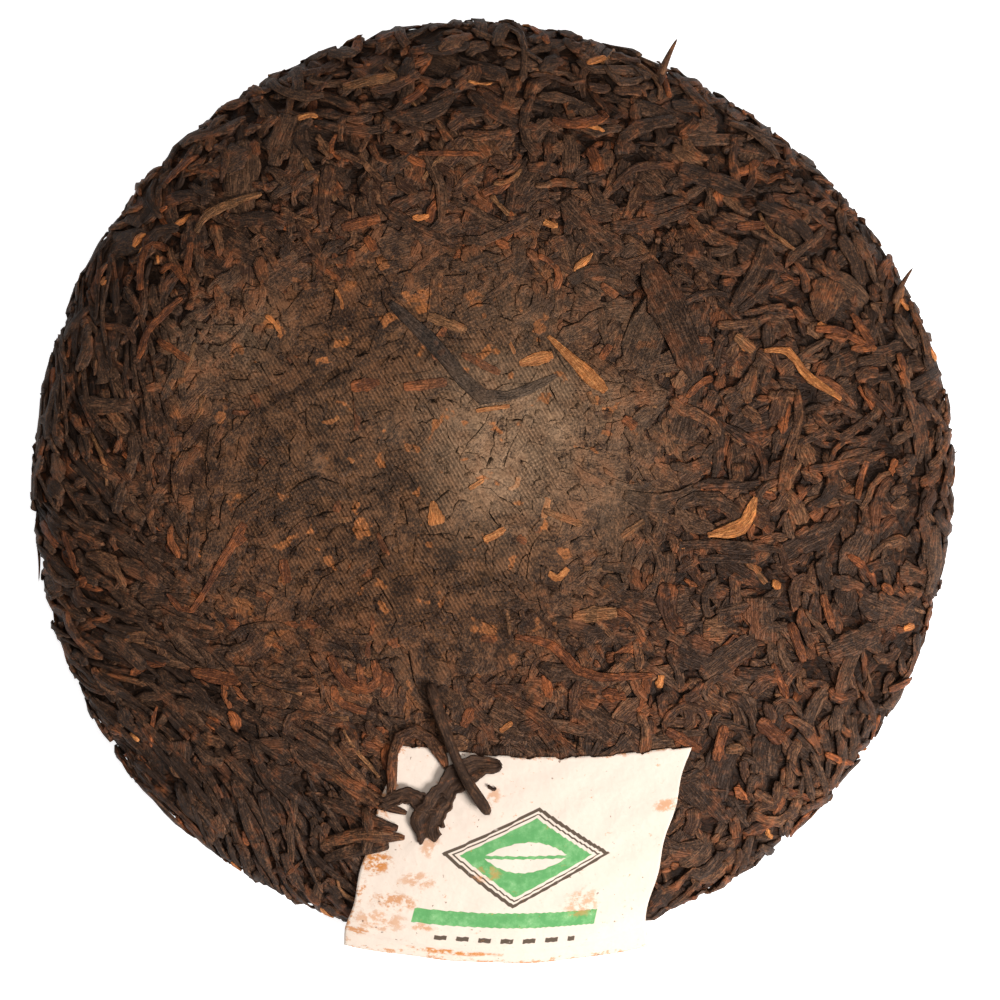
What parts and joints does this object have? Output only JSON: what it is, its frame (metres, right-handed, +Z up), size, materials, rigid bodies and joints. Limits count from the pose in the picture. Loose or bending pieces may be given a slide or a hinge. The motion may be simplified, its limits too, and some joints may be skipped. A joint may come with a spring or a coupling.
{
  "type": "pressed ripe pu-erh tea cake",
  "caption": "Round cake of pressed dark ripe tea leaf, domed above and dimpled below, with a paper ticket pressed into its face and folded over the rim.",
  "frame": {"origin": "the middle of the underside, on the surface that the cake lies on", "axes": "+Z up through the cake's face, -Y towards the paper ticket and the viewer, +X to the viewer's right"},
  "size_m": [0.1953, 0.2012, 0.0266],
  "materials": {
    "tea": "dry pressed leaf, dark brown with red-brown and golden pieces, dull with a faint sheen",
    "paper": null,
    "loose_leaf": "dry crumpled leaf, dark brown, dull",
    "loose_stalk": "dry ribbed stalk, dark brown, faint sheen"
  },
  "bodies": {
    "root": {"tea_cake": "tea", "paper_ticket": "paper", "leaf_over_ticket": "loose_leaf", "stalk_over_ticket": "loose_stalk"}
  },
  "joints": []
}
